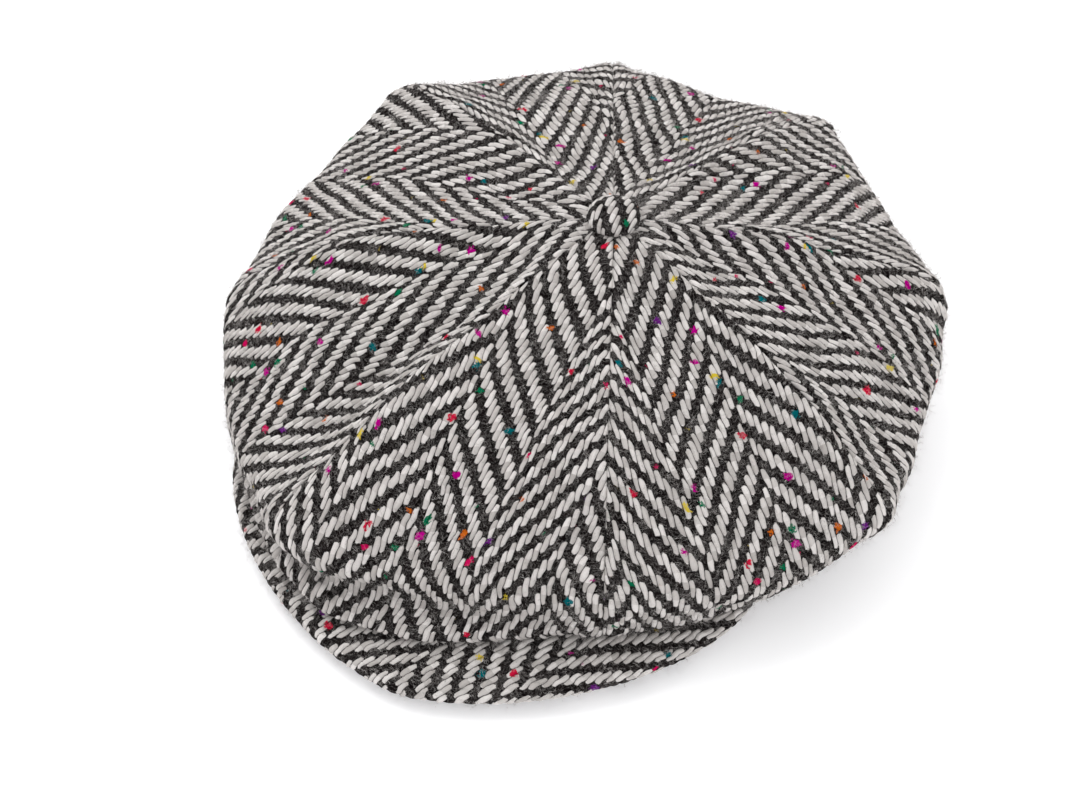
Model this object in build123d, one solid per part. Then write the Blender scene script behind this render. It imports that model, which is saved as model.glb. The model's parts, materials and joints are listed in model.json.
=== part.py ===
from build123d import *
import math
import os

# Eight-panel newsboy cap, size 58, in millimetres.
# +Z is up, the visor points towards -Y and the wearer's left hand is +X.
# The origin is the middle of the head opening, on the plane that the headband rests on.
# A bearing is an angle about +Z: 0 degrees looks along the visor (-Y), +90 degrees is +X.

# ---------------------------------------------------------------- driving dimensions
# Head opening: an ellipse with a girth of 583 mm.
HEAD_HALF_WIDTH = 83.0
HEAD_HALF_LENGTH = 102.0

# Layers of the band, from the head outwards.
SWEATBAND_THICKNESS = 1.2
INTERLINING_THICKNESS = 0.8
TWEED = 2.2
LAYER_GAP = 0.3
BAND_HEIGHT = 28.0
SWEATBAND_BASE = 1.0
SWEATBAND_HEIGHT = 27.0
INTERLINING_BASE = 2.0
INTERLINING_HEIGHT = 24.0

# Crown: eight gores sewn together under the button. Each seam is a ridge, and the cloth
# hangs slightly between the ridges. The seam tables hold one value per seam, starting with
# the seam to the wearer's left of the front panel and going round past the left ear.
SEAM_COUNT = 8
CROWN_CENTRE = (13.0, 18.0)
SEAM_BEARING = (20.0, 66.0, 113.0, 159.0, 201.0, 238.0, 288.5, 332.0)
SEAM_REACH = (146.0, 144.0, 134.0, 143.0, 143.0, 158.0, 151.0, 161.0)
SEAM_RIM_HEIGHT = (30.0, 38.0, 47.0, 53.0, 55.0, 53.0, 45.0, 30.0)
SEAM_HEM_HEIGHT = (20.5, 23.5, 23.5, 23.5, 23.5, 23.5, 23.5, 20.5)
# The panel tables start with the panel after the first seam. A bulge is how far the middle
# of the panel's rim stands out from a straight line between its two seams.
PANEL_BULGE = (9.0, 6.0, -3.0, -3.0, -3.0, 6.0, 14.0, 8.0)
PANEL_RIM_DROP = (5.0, 2.0, 0.0, 0.0, 0.0, 2.0, 5.0, 2.0)
CROWN_TOP = 92.0
SAG_BETWEEN_SEAMS = 4.0
SEAM_CLEARANCE = 0.3
HEM_CLEARANCE = 0.5
TIP_RADIUS = 4.5

# Shape of one seam from the button to the rim: fraction of reach, fraction of drop.
CROWN_SHOULDER = ((0.28, 0.09), (0.55, 0.27), (0.78, 0.50), (0.93, 0.76))
# Shape of the fold under the rim: fraction of the way back up to the rim, for reach and height.
CROWN_UNDERFOLD = ((0.93, 0.50), (0.60, 0.12))

# Quilted lining: a smaller cap inside the crown.
LINING_THICKNESS = 1.6
LINING_TOP_DROP = 7.0
LINING_REACH_LOSS = 20.0
LINING_RIM_LIFT = 0.15
LINING_HEM_HEIGHT = 31.0
LINING_SHOULDER = ((0.30, 0.12), (0.60, 0.35), (0.85, 0.66))
LINING_UNDERFOLD = ((0.88, 0.50), (0.45, 0.12))
LINING_TIP_RADIUS = 2.0

# Visor: a stiff board between two layers of tweed, arched from side to side.
VISOR_TIP = 162.0
VISOR_HALF_WIDTH = 107.0
VISOR_WIDEST = 76.0
VISOR_EDGE_POWER = 1.6
VISOR_TAIL = (88.0, 47.0)
VISOR_TAIL_SWELL = (102.5, 59.0)
VISOR_CLEARANCE = 2.0
VISOR_ROOT_HEIGHT = 13.0
VISOR_SLOPE_DEGREES = 6.5
VISOR_ARCH_RADIUS = 1250.0
BOARD_THICKNESS = 1.8
COVER_THICKNESS = 1.8
VISOR_LAYER_GAP = 0.2
BOARD_MARGIN = 3.0

# Cloth-covered button on a clinched post.
BUTTON_RADIUS = 10.5
BUTTON_HEIGHT = 6.6
BUTTON_LIFT = 0.4
BUTTON_CLOTH = 1.2
BUTTON_SHELL_WALL = 0.6
BUTTON_GAP = 0.1
BACK_THICKNESS = 0.8
POST_RADIUS = 3.2
POST_LENGTH = 5.0
WASHER_RADIUS = 8.5
WASHER_THICKNESS = 0.9

# Sampling of the cloth surfaces.
MERIDIAN_STEPS = 30
ACROSS_STEPS = 8

PANEL_NAMES = (
    "front_left",
    "side_left",
    "back_left",
    "back_centre",
    "back_right",
    "side_right",
    "front_right",
    "front_centre",
)

# ---------------------------------------------------------------- derived dimensions
SWEATBAND_OUTSIDE = SWEATBAND_THICKNESS
INTERLINING_INSIDE = SWEATBAND_OUTSIDE + LAYER_GAP
INTERLINING_OUTSIDE = INTERLINING_INSIDE + INTERLINING_THICKNESS
HEADBAND_INSIDE = INTERLINING_OUTSIDE + LAYER_GAP
HEADBAND_OUTSIDE = HEADBAND_INSIDE + TWEED


def blend(low, high, fraction):
    """Value that is the given fraction of the way from low to high."""
    return low + (high - low) * fraction


def around_seams(table, seam, fraction):
    """Value of a per-seam table, part of the way from one seam to the next."""
    return blend(table[seam], table[(seam + 1) % SEAM_COUNT], fraction)


def hump(fraction):
    """Smooth hump across a panel: nothing at its seams and one in its middle."""
    return 1 - (2 * fraction - 1) ** 2


def seam_bearings(seam):
    """Bearings of the seams on either side of a panel."""
    start = SEAM_BEARING[seam]
    end = SEAM_BEARING[(seam + 1) % SEAM_COUNT]
    return start, end + (360 if end < start else 0)


def rim_reach(seam, fraction):
    """Reach of the rim across a panel: the straight line between its seams plus its bulge."""
    start, end = seam_bearings(seam)
    width = math.radians(end - start)
    turn = width * fraction
    near = SEAM_REACH[seam]
    far = SEAM_REACH[(seam + 1) % SEAM_COUNT]
    chord = near * far * math.sin(width)
    chord /= near * math.sin(turn) + far * math.sin(width - turn)
    return chord + PANEL_BULGE[seam] * hump(fraction)


def distance_to_band(bearing, outset):
    """Distance from the crown's centre line to the band's ellipse along a bearing."""
    half_x = HEAD_HALF_WIDTH + outset
    half_y = HEAD_HALF_LENGTH + outset
    step_x = math.sin(math.radians(bearing))
    step_y = -math.cos(math.radians(bearing))
    start_x, start_y = CROWN_CENTRE
    a = (step_x / half_x) ** 2 + (step_y / half_y) ** 2
    b = start_x * step_x / half_x**2 + start_y * step_y / half_y**2
    c = (start_x / half_x) ** 2 + (start_y / half_y) ** 2 - 1
    return (-b + math.sqrt(b * b - a * c)) / a


# ---------------------------------------------------------------- crown and lining
def gore_profile(seam, fraction, lining):
    """Outer edge curve of a gore in its own upright plane, as x = reach and y = height."""
    bearing = blend(*seam_bearings(seam), fraction)
    reach = rim_reach(seam, fraction)
    rim = around_seams(SEAM_RIM_HEIGHT, seam, fraction)
    rim -= PANEL_RIM_DROP[seam] * hump(fraction)
    hem = around_seams(SEAM_HEM_HEIGHT, seam, fraction)
    top = CROWN_TOP
    hem_reach = distance_to_band(bearing, HEADBAND_OUTSIDE + HEM_CLEARANCE)
    start, shoulder, underfold = TIP_RADIUS, CROWN_SHOULDER, CROWN_UNDERFOLD
    if lining:
        reach = reach - LINING_REACH_LOSS
        rim = blend(rim, CROWN_TOP, LINING_RIM_LIFT)
        hem = LINING_HEM_HEIGHT
        top = CROWN_TOP - LINING_TOP_DROP
        hem_reach = distance_to_band(bearing, HEADBAND_INSIDE)
        start, shoulder, underfold = LINING_TIP_RADIUS, LINING_SHOULDER, LINING_UNDERFOLD
    sag = SAG_BETWEEN_SEAMS * hump(fraction)
    points = [(start, top)]
    for along, drop in shoulder:
        hollow = sag * math.sin(math.pi * along)
        points.append((reach * along, blend(top, rim, drop) - hollow))
    points.append((reach, rim))
    for along, up in underfold:
        points.append((blend(hem_reach, reach, along), blend(hem, rim, up)))
    points.append((hem_reach, hem))
    return Spline(*points, tangents=[(1, 0), (-1, 0)])


def cloth_grid(seam, depth, lining):
    """Grid of points over one gore, the given depth under its outer surface."""
    start, end = seam_bearings(seam)
    columns = []
    for column in range(ACROSS_STEPS + 1):
        fraction = column / ACROSS_STEPS
        curve = gore_profile(seam, fraction, lining)
        points = []
        for row in range(MERIDIAN_STEPS + 1):
            place = curve @ (row / MERIDIAN_STEPS)
            heading = curve % (row / MERIDIAN_STEPS)
            reach = place.X + heading.Y * depth
            height = place.Y - heading.X * depth
            inset = math.degrees(math.asin(SEAM_CLEARANCE / reach))
            bearing = math.radians(blend(start + inset, end - inset, fraction))
            x = CROWN_CENTRE[0] + reach * math.sin(bearing)
            y = CROWN_CENTRE[1] - reach * math.cos(bearing)
            points.append(Vector(x, y, height))
        columns.append(points)
    return columns


def nearest_edge(edge, others):
    """The edge of another surface that runs beside this one."""
    return min(others, key=lambda other: (other.center() - edge.center()).length)


def gore(seam, thickness, lining=False):
    """One gore of cloth: two curved surfaces joined by four narrow edge surfaces."""
    outer = Face.make_surface_from_array_of_points(cloth_grid(seam, 0.0, lining))
    inner = Face.make_surface_from_array_of_points(cloth_grid(seam, thickness, lining))
    inner_edges = inner.edges()
    sides = []
    for edge in outer.edges():
        sides.append(Face.make_surface_from_curves(edge, nearest_edge(edge, inner_edges)))
    return Solid(Shell([outer, inner, *sides]))


# ---------------------------------------------------------------- band
def band_ring(inside, outside, base, height):
    """Upright ring around the head opening; inside and outside are outsets from the head."""
    outer = Ellipse(HEAD_HALF_WIDTH + outside, HEAD_HALF_LENGTH + outside)
    inner = Ellipse(HEAD_HALF_WIDTH + inside, HEAD_HALF_LENGTH + inside)
    return Pos(0, 0, base) * extrude(outer - inner, height)


# ---------------------------------------------------------------- visor
def visor_plan(margin):
    """Plan of the visor with its free edge moved in by a margin."""
    half_width = VISOR_HALF_WIDTH - margin
    half_length = VISOR_TIP - VISOR_WIDEST - margin
    right_half = []
    for step in range(1, 9):
        turn = math.pi / 2 * step / 8
        x = half_width * math.sin(turn) ** (2 / VISOR_EDGE_POWER)
        y = -VISOR_WIDEST - half_length * math.cos(turn) ** (2 / VISOR_EDGE_POWER)
        right_half.append((x, y))
    right_half.append((VISOR_TAIL_SWELL[0] - margin, -VISOR_TAIL_SWELL[1]))
    right_half.append((VISOR_TAIL[0] - margin, -VISOR_TAIL[1]))
    left_half = [(-x, y) for x, y in reversed(right_half)]
    tip = (0, -VISOR_WIDEST - half_length)
    edge = Spline(*left_half, tip, *right_half)
    outline = make_face([edge, Line(edge @ 1, edge @ 0)])
    clear = HEADBAND_OUTSIDE + VISOR_CLEARANCE
    return outline - Ellipse(HEAD_HALF_WIDTH + clear, HEAD_HALF_LENGTH + clear)


def arched_slab(low, high):
    """Sheet arched from side to side, between two heights above the visor's middle surface."""
    length = 260.0
    ring = Cylinder(VISOR_ARCH_RADIUS + high, length) - Cylinder(VISOR_ARCH_RADIUS + low, length)
    sheet = Pos(0, 0, -VISOR_ARCH_RADIUS) * Rot(90, 0, 0) * ring
    keep = Box(260, length, 60)
    root = (0, -(HEAD_HALF_LENGTH + HEADBAND_OUTSIDE), VISOR_ROOT_HEIGHT)
    return Pos(*root) * Rot(VISOR_SLOPE_DEGREES, 0, 0) * (sheet & keep)


def visor_layer(margin, low, high):
    """Part of an arched sheet that lies inside the visor's plan."""
    return arched_slab(low, high) & extrude(visor_plan(margin), 60)


def visor_pieces():
    """Board, top cover wrapped over the board's edge, and bottom cover."""
    half_board = BOARD_THICKNESS / 2
    board = visor_layer(BOARD_MARGIN, -half_board, half_board)
    under_board = -half_board - VISOR_LAYER_GAP
    top = half_board + VISOR_LAYER_GAP + COVER_THICKNESS
    pocket_top = half_board + VISOR_LAYER_GAP
    pocket_margin = BOARD_MARGIN - VISOR_LAYER_GAP
    wrapped = visor_layer(0, under_board, top)
    top_cover = wrapped - visor_layer(pocket_margin, under_board - 1, pocket_top)
    bottom_high = under_board - VISOR_LAYER_GAP
    bottom_cover = visor_layer(0, bottom_high - COVER_THICKNESS, bottom_high)
    return board, top_cover, bottom_cover


# ---------------------------------------------------------------- button
def dome(radius, height, base):
    """Shallow solid dome on the button's axis."""
    arch = ThreePointArc((0, height), (radius * 0.72, height * 0.66), (radius, 0))
    outline = make_face([arch, Line((radius, 0), (0, 0)), Line((0, 0), (0, height))])
    solid = revolve(Plane.XZ * outline, Axis.Z)
    return Pos(CROWN_CENTRE[0], CROWN_CENTRE[1], base) * solid


def disc(radius, height, base):
    """Upright cylinder on the button's axis."""
    centre = Pos(CROWN_CENTRE[0], CROWN_CENTRE[1], base + height / 2)
    return centre * Cylinder(radius, height)


def button_pieces():
    """Cloth cover, metal shell, back plate with its post, and the washer inside the crown."""
    base = CROWN_TOP + BUTTON_LIFT
    hollow = BUTTON_CLOTH + BUTTON_GAP
    cloth = dome(BUTTON_RADIUS, BUTTON_HEIGHT, base)
    cover = cloth - dome(BUTTON_RADIUS - BUTTON_CLOTH, BUTTON_HEIGHT - BUTTON_CLOTH, base)
    shell_radius = BUTTON_RADIUS - hollow
    shell_height = BUTTON_HEIGHT - hollow
    shell_inside = dome(
        shell_radius - BUTTON_SHELL_WALL, shell_height - BUTTON_SHELL_WALL, base
    )
    shell = dome(shell_radius, shell_height, base) - shell_inside
    back_radius = shell_radius - 2 * BUTTON_SHELL_WALL - 3 * BUTTON_GAP
    back = disc(back_radius, BACK_THICKNESS, base)
    post = disc(POST_RADIUS, POST_LENGTH, base - POST_LENGTH)
    washer_base = CROWN_TOP - TWEED - BUTTON_LIFT - WASHER_THICKNESS
    washer = disc(WASHER_RADIUS, WASHER_THICKNESS, washer_base)
    washer -= disc(POST_RADIUS + BUTTON_GAP / 2, WASHER_THICKNESS, washer_base)
    return cover, shell, back + post, washer


# ---------------------------------------------------------------- assembly
def make_parts():
    """Every piece of the cap, by name."""
    parts = {}
    for seam, name in enumerate(PANEL_NAMES):
        parts["crown_panel_" + name] = gore(seam, TWEED)
        parts["lining_panel_" + name] = gore(seam, LINING_THICKNESS, lining=True)
    parts["headband"] = band_ring(HEADBAND_INSIDE, HEADBAND_OUTSIDE, 0, BAND_HEIGHT)
    parts["band_interlining"] = band_ring(
        INTERLINING_INSIDE, INTERLINING_OUTSIDE, INTERLINING_BASE, INTERLINING_HEIGHT
    )
    parts["sweatband"] = band_ring(0, SWEATBAND_OUTSIDE, SWEATBAND_BASE, SWEATBAND_HEIGHT)
    board, top_cover, bottom_cover = visor_pieces()
    parts["visor_board"] = board
    parts["visor_top_cover"] = top_cover
    parts["visor_bottom_cover"] = bottom_cover
    cover, shell, back, washer = button_pieces()
    parts["button_cover"] = cover
    parts["button_shell"] = shell
    parts["button_back"] = back
    parts["button_washer"] = washer
    return parts


os.makedirs("parts", exist_ok=True)
for part_name, shape in make_parts().items():
    export_step(shape, os.path.join("parts", part_name + ".step"))
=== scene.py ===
"""Newsboy cap in herringbone tweed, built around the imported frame.

Lengths are in millimetres until a mesh is made, and in metres in Blender.
A sheet is an array of points, columns by rows, that a cloth surface runs through.
"""

import json
import math

import bpy
import numpy as np
from mathutils import Matrix, Vector
from mathutils.bvhtree import BVHTree

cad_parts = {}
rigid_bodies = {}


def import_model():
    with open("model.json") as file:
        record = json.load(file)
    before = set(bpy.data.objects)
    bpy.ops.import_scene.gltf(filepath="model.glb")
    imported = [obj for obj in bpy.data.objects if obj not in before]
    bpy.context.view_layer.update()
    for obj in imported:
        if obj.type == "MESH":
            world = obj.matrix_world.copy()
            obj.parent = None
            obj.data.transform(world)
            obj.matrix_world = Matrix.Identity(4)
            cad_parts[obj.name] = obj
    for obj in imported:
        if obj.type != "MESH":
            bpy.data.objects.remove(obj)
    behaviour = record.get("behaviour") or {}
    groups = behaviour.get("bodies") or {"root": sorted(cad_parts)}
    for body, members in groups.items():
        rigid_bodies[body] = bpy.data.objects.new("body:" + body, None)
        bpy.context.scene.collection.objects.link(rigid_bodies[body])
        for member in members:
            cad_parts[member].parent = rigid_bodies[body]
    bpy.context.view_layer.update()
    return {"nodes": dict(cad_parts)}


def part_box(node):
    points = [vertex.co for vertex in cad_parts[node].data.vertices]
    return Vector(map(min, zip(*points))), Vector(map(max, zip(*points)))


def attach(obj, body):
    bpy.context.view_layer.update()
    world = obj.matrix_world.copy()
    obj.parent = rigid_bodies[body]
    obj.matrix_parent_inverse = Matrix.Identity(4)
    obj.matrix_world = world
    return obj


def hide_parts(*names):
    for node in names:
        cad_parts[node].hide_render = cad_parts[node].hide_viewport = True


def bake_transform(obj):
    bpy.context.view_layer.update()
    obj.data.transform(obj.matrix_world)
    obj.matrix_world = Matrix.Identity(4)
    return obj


for leftover in list(bpy.data.objects):
    bpy.data.objects.remove(leftover)
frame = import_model()

MM = 0.001

# Herringbone tweed: a 2/2 twill that turns back after every band of warp ends.
END_PITCH = 2.2
PICK_PITCH = 3.42
BAND_ENDS = 14
WAVE_HEIGHT = 0.38
WARP_ROUND = 0.74
WEFT_ROUND = 0.58
WARP_HALF_WIDTH = 0.495
WARP_TAPER = 0.18
WEFT_HALF_WIDTH = 0.56
# Yarns differ in width: depth of that, and its waves from end to end and along each end.
YARN_UNEVENNESS = 0.11
UNEVEN_WAVES = ((2.4, 0.5), (4.1, 0.23))
CLOTH_STEP = 0.45
CLOTH_DEPTH = 2.2
HAIR_CHILDREN = 3

# Where the weave's repeat starts across each panel, in warp ends, and along it, in picks.
PANEL_WEAVE_START = {
    "front_left": (7.8, 0),
    "side_left": (0.0, 1),
    "back_left": (-7.0, 2),
    "back_centre": (14.0, 1),
    "back_right": (9.0, 3),
    "side_right": (0.5, 2),
    "front_right": (17.8, 0),
    "front_centre": (22.0, 1),
}
PANELS = tuple(PANEL_WEAVE_START)
# How far the yarns wander: wavelength and distance, across and along the cloth, and the
# short unevenness on top, in millimetres.
SWAY = (34.0, 0.35)
PULL = (38.0, 0.45)
JITTER_WAVELENGTH = 6.0
JITTER = (0.17, 0.32)
HAIRS_PER_PANEL = 2600
HAIRS_ON_VISOR = 2000
HAIRS_ON_BUTTON = 60

button_low, button_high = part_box("button_cover")
AXIS_X = (button_low.x + button_high.x) / 2 / MM
AXIS_Y = (button_low.y + button_high.y) / 2 / MM


# ---------------------------------------------------------------- small tools
def mix(low, high, share):
    """Value that is the given share of the way from low to high."""
    return low + (high - low) * share


def smooth(value, start, end):
    """Smooth rise from 0 at start to 1 at end."""
    share = np.clip((value - start) / (end - start), 0, 1)
    return share * share * (3 - 2 * share)


def unit(vectors):
    """Vectors scaled to length one."""
    return vectors / np.maximum(np.linalg.norm(vectors, axis=-1, keepdims=True), 1e-9)


class Ripple:
    """Smooth random field in space, made of sine waves near one wavelength."""

    def __init__(self, seed, wavelength, waves=14):
        chance = np.random.default_rng(seed)
        heading = unit(chance.normal(size=(waves, 3)))
        length = wavelength * chance.uniform(0.65, 1.5, size=(waves, 1))
        self.wave = heading * 2 * math.pi / length
        self.start = chance.uniform(0, 2 * math.pi, size=waves)
        self.scale = math.sqrt(2 / waves)

    def at(self, points):
        """Field value at each point, about -1 to 1."""
        return np.sin(points @ self.wave.T + self.start).sum(-1) * self.scale


def cubic_weights(share):
    """Catmull-Rom weights of the four samples around a place."""
    a = -0.5 * share + share**2 - 0.5 * share**3
    b = 1 - 2.5 * share**2 + 1.5 * share**3
    c = 0.5 * share + 2 * share**2 - 1.5 * share**3
    d = -0.5 * share**2 + 0.5 * share**3
    return (a, b, c, d)


def pad(sheet):
    """Sheet with one extrapolated sample more on every side."""
    sheet = np.concatenate([2 * sheet[:1] - sheet[1:2], sheet, 2 * sheet[-1:] - sheet[-2:-1]])
    left = 2 * sheet[:, :1] - sheet[:, 1:2]
    right = 2 * sheet[:, -1:] - sheet[:, -2:-1]
    return np.concatenate([left, sheet, right], axis=1)


def sheet_points(sheet, column, row):
    """Smooth points on a sheet at fractional columns and rows."""
    padded = pad(sheet)
    column = np.clip(column, 0, sheet.shape[0] - 1)
    row = np.clip(row, 0, sheet.shape[1] - 1)
    i = np.minimum(column.astype(int), sheet.shape[0] - 2)
    j = np.minimum(row.astype(int), sheet.shape[1] - 2)
    across = cubic_weights(column - i)
    along = cubic_weights(row - j)
    total = 0
    for a in range(4):
        for b in range(4):
            total = total + padded[i + a, j + b] * (across[a] * along[b])[..., None]
    return total


def sheet_down(sheet, column, row):
    """Direction of a sheet along its rows, from a short step each way."""
    step = 0.05
    return sheet_points(sheet, column, row + step) - sheet_points(sheet, column, row - step)


def sheet_normals(sheet, column, row):
    """Unit normals of a sheet, from its slopes along columns and rows."""
    step = 0.05
    over = sheet_points(sheet, column + step, row) - sheet_points(sheet, column - step, row)
    return unit(np.cross(over, sheet_down(sheet, column, row)))


def even_grid(sheet, columns, rows):
    """Fractional columns and rows of an even grid over a sheet."""
    column = np.linspace(0, sheet.shape[0] - 1, columns)
    row = np.linspace(0, sheet.shape[1] - 1, rows)
    return np.meshgrid(column, row, indexing="ij")


def lengths(points):
    """Running length along each polyline of an array whose last two axes are points."""
    steps = np.linalg.norm(np.diff(points, axis=-2), axis=-1)
    start = np.zeros(steps.shape[:-1] + (1,))
    return np.concatenate([start, np.cumsum(steps, axis=-1)], axis=-1)


def zip_edges(first, first_at, second, second_at):
    """Triangles between two rows of vertices, given each vertex's place along the edge."""
    faces = []
    a = 0
    b = 0
    while a < len(first) - 1 or b < len(second) - 1:
        next_a = first_at[a + 1] if a < len(first) - 1 else math.inf
        next_b = second_at[b + 1] if b < len(second) - 1 else math.inf
        if next_a <= next_b:
            faces.append((first[a], second[b], first[a + 1]))
            a += 1
        else:
            faces.append((first[a], second[b], second[b + 1]))
            b += 1
    return faces


def turn_outward(mesh):
    """Flips a closed mesh whose faces all point inward."""
    mesh.calc_loop_triangles()
    corner = np.zeros(len(mesh.loop_triangles) * 3, np.int32)
    mesh.loop_triangles.foreach_get("vertices", corner)
    place = np.zeros(len(mesh.vertices) * 3, np.float32)
    mesh.vertices.foreach_get("co", place)
    corners = place.reshape(-1, 3).astype(float)[corner.reshape(-1, 3)]
    volume = np.einsum("ij,ij->i", corners[:, 0], np.cross(corners[:, 1], corners[:, 2])).sum()
    if volume < 0:
        mesh.flip_normals()


def make_mesh(name, points, faces, material, uv=None, closed=True):
    """Object from points in millimetres, faces and one texture coordinate per point."""
    mesh = bpy.data.meshes.new(name)
    mesh.from_pydata(np.asarray(points) * MM, [], faces)
    mesh.materials.append(material)
    if uv is not None:
        layer = mesh.uv_layers.new(name="cloth")
        corner = np.zeros(len(mesh.loops), np.int32)
        mesh.loops.foreach_get("vertex_index", corner)
        layer.data.foreach_set("uv", np.asarray(uv, np.float32)[corner].ravel())
    mesh.polygons.foreach_set("use_smooth", [True] * len(mesh.polygons))
    mesh.validate()
    mesh.update()
    if closed:
        turn_outward(mesh)
    piece = bpy.data.objects.new(name, mesh)
    bpy.context.scene.collection.objects.link(piece)
    return piece


# ---------------------------------------------------------------- the weave
def connect(tree, value, slot):
    """Links a shader value or socket to a slot, or sets the slot to a plain value."""
    if isinstance(value, Wire):
        value = value.socket
    if isinstance(value, bpy.types.NodeSocket):
        tree.links.new(value, slot)
    else:
        slot.default_value = value


class Wire:
    """A shader value that can be used in a formula like a number."""

    tree = None

    def __init__(self, socket):
        self.socket = socket

    @classmethod
    def math(cls, operation, *values):
        node = cls.tree.nodes.new("ShaderNodeMath")
        node.operation = operation
        for slot, value in zip(node.inputs, values):
            connect(cls.tree, value, slot)
        return cls(node.outputs[0])

    def __add__(self, other):
        return Wire.math("ADD", self, other)

    def __sub__(self, other):
        return Wire.math("SUBTRACT", self, other)

    def __rsub__(self, other):
        return Wire.math("SUBTRACT", other, self)

    def __mul__(self, other):
        return Wire.math("MULTIPLY", self, other)

    def __truediv__(self, other):
        return Wire.math("DIVIDE", self, other)

    __radd__ = __add__
    __rmul__ = __mul__


class ShaderMaths:
    """The functions that the weave formula needs, for shader values."""

    floor = staticmethod(lambda x: Wire.math("FLOOR", x))
    sin = staticmethod(lambda x: Wire.math("SINE", x))
    cos = staticmethod(lambda x: Wire.math("COSINE", x))
    sqrt = staticmethod(lambda x: Wire.math("SQRT", x))
    maximum = staticmethod(lambda x, y: Wire.math("MAXIMUM", x, y))


def weave(kit, across, along):
    """Warp height, weft height, roundness of the warp, and the numbers of the end and pick.
    """
    end = across * (1 / END_PITCH)
    pick = along * (1 / PICK_PITCH)
    end_index = kit.floor(end)
    pick_index = kit.floor(pick)
    band = kit.floor((end_index + 0.5) * (1 / BAND_ENDS))
    turned = band - kit.floor(band * 0.5) * 2
    step = end_index - band * BAND_ENDS
    place = end - band * BAND_ENDS - 0.5
    step_rise = step + turned * (BAND_ENDS + 1 - step * 2)
    place_rise = place + turned * (BAND_ENDS + 1 - place * 2)
    quarter = math.pi / 2
    rise = kit.sin((pick + step_rise) * quarter)
    dip = kit.sin((pick_index + 0.5 + place_rise) * quarter)
    uneven = 0
    for per_end, per_length in UNEVEN_WAVES:
        uneven = kit.sin(end_index * per_end + along * per_length) + uneven
    warp_width = (rise * WARP_TAPER + (1 - WARP_TAPER)) * WARP_HALF_WIDTH
    warp_width = warp_width * (1 + uneven * YARN_UNEVENNESS * 0.5)
    warp_share = (end - end_index - 0.5) / warp_width
    weft_share = (pick - pick_index - 0.5) * (1 / WEFT_HALF_WIDTH)
    warp_round = kit.sqrt(kit.maximum(1 - warp_share * warp_share, 0))
    weft_round = kit.sqrt(kit.maximum(1 - weft_share * weft_share, 0))
    warp = rise * WAVE_HEIGHT + warp_round * WARP_ROUND
    weft = dip * -WAVE_HEIGHT + weft_round * WEFT_ROUND
    return warp, weft, warp_round, end_index, pick_index


def weave_height(across, along):
    """Height of the woven surface in millimetres."""
    warp, weft = weave(np, across, along)[:2]
    return np.maximum(warp, weft) - WARP_ROUND


def wander(points, seed, jitter_seed):
    """How far the yarns stray across and along the cloth at each point."""
    jitter = Ripple(jitter_seed, JITTER_WAVELENGTH)
    sway = Ripple(seed, SWAY[0]).at(points) * SWAY[1]
    pull = Ripple(seed + 1, PULL[0]).at(points) * PULL[1]
    return sway + jitter.at(points) * JITTER[0], pull + jitter.at(points + 40) * JITTER[1]


# ---------------------------------------------------------------- materials
def new_material(name):
    """Empty node material and its tree, in which the next formulas are built."""
    material = bpy.data.materials.new(name)
    material.use_nodes = True
    tree = material.node_tree
    tree.nodes.clear()
    Wire.tree = tree
    return material, tree


def add(tree, kind, **values):
    """Node with some of its inputs or settings given."""
    node = tree.nodes.new(kind)
    for key, value in values.items():
        if hasattr(node, key):
            setattr(node, key, value)
        else:
            connect(tree, value, node.inputs[key.replace("_", " ")])
    return node


def mix_colour(tree, share, first, second):
    """Colour socket that goes from first to second."""
    node = tree.nodes.new("ShaderNodeMix")
    node.data_type = "RGBA"
    for index, value in ((0, share), (6, first), (7, second)):
        connect(tree, value, node.inputs[index])
    return node.outputs[2]


def surface(tree, shader="Principled", **values):
    """Shader node joined to the material's output."""
    shader = add(tree, "ShaderNodeBsdf" + shader, **values)
    add(tree, "ShaderNodeOutputMaterial", Surface=shader.outputs[0])
    return shader


def object_noise(tree, scale, detail):
    """Noise fixed to the object's own coordinates."""
    place = add(tree, "ShaderNodeTexCoord").outputs["Object"]
    return Wire(add(tree, "ShaderNodeTexNoise", Vector=place, Scale=scale, Detail=detail).outputs[0])


def bumps(tree, height, strength, distance):
    """Normal socket of a bump map."""
    return add(tree, "ShaderNodeBump", Strength=strength, Distance=distance, Height=height).outputs[0]


def spread(tree, value, low, high, start=0.0, end=1.0):
    """Value remapped and clamped from low..high to start..end, smoothly."""
    node = tree.nodes.new("ShaderNodeMapRange")
    node.interpolation_type = "SMOOTHSTEP"
    for slot, number in zip(node.inputs, (value, low, high, start, end)):
        connect(tree, number, slot)
    return Wire(node.outputs[0])


FLECK_COLOURS = (
    (0.62, 0.004, 0.10, 1),
    (0.0, 0.13, 0.15, 1),
    (0.60, 0.13, 0.010, 1),
    (0.48, 0.0, 0.24, 1),
    (0.0, 0.16, 0.07, 1),
    (0.72, 0.55, 0.05, 1),
    (0.62, 0.010, 0.05, 1),
    (0.14, 0.015, 0.20, 1),
)
WHITE_YARN = ((0.54, 0.505, 0.485, 1), (0.84, 0.800, 0.780, 1))
DARK_YARN = ((0.004, 0.0028, 0.0028, 1), (0.012, 0.009, 0.009, 1))
STRAY_HAIR = ((0.22, 0.20, 0.19, 1), (0.66, 0.63, 0.61, 1))
HAIR_ON_DARK = (0.36, 0.34, 0.33, 1)
HAIR_ON_WHITE = (0.34, 0.31, 0.29, 1)
FLECK_CHANCE = 0.32


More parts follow.
